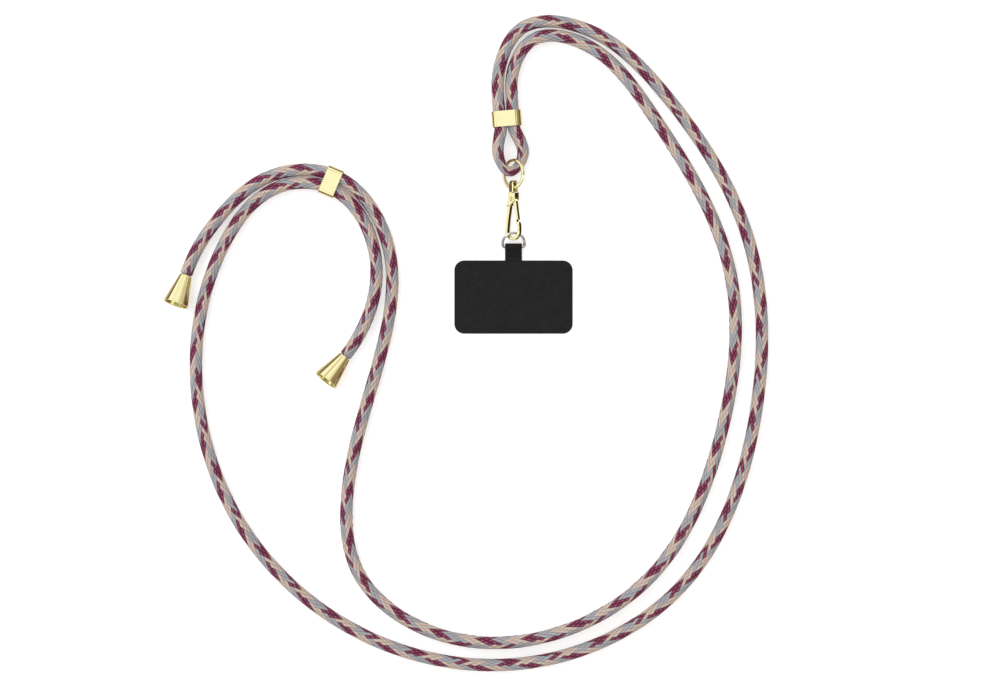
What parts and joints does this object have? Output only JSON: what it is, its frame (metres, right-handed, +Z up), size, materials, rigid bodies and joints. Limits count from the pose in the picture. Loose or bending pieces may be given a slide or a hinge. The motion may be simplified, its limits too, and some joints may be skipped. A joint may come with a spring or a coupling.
{
  "type": "phone crossbody strap",
  "caption": "Braided crossbody cord doubled in a big loop, with metal end caps and sliders, a ring, swivel snap hook, D-ring, webbing tab and phone case patch.",
  "frame": {"origin": "on the floor under the middle of the box round the ring, hook, tab and patch, with the cord and what is on it left out", "axes": "+Y runs along the floor from the patch up the hook to the ring and the cord's fold, +Z is up, +X is to the right seen from above"},
  "size_m": [0.3168, 0.3427, 0.0133],
  "materials": {
    "cord": "braided, burgundy stitches on blue-grey and beige",
    "pale_gold": "polished pale gold plating",
    "steel": "polished",
    "webbing": "woven, matte",
    "patch": "coated, matte"
  },
  "bodies": {
    "strap": {"cord": "cord", "loop_slider": "pale_gold", "length_slider": "pale_gold", "end_cap_a": "pale_gold", "end_cap_b": "pale_gold", "cord_ring": "pale_gold", "swivel_eye": "pale_gold"},
    "hook": {"hook_body": "pale_gold", "gate_rivet": "pale_gold", "d_ring": "steel", "webbing_tab": "webbing", "phone_patch": "patch"},
    "gate_arm": {"gate": "pale_gold"}
  },
  "joints": [
    {"name": "hook_swivel", "type": "hinge", "parent": "strap", "child": "hook", "pos_m": [-0.0001, 0.03055, 0.00615], "axis": [0, 0.9969, 0.0785], "continuous": true},
    {"name": "gate_hinge", "type": "hinge", "parent": "hook", "child": "gate_arm", "pos_m": [-0.00025, 0.02488, 0.00557], "axis": [0.6691, 0.0583, -0.7409], "range_deg": [0, 18], "stiffness_Nm_per_rad": 0.02, "springref_deg": -28.65}
  ]
}
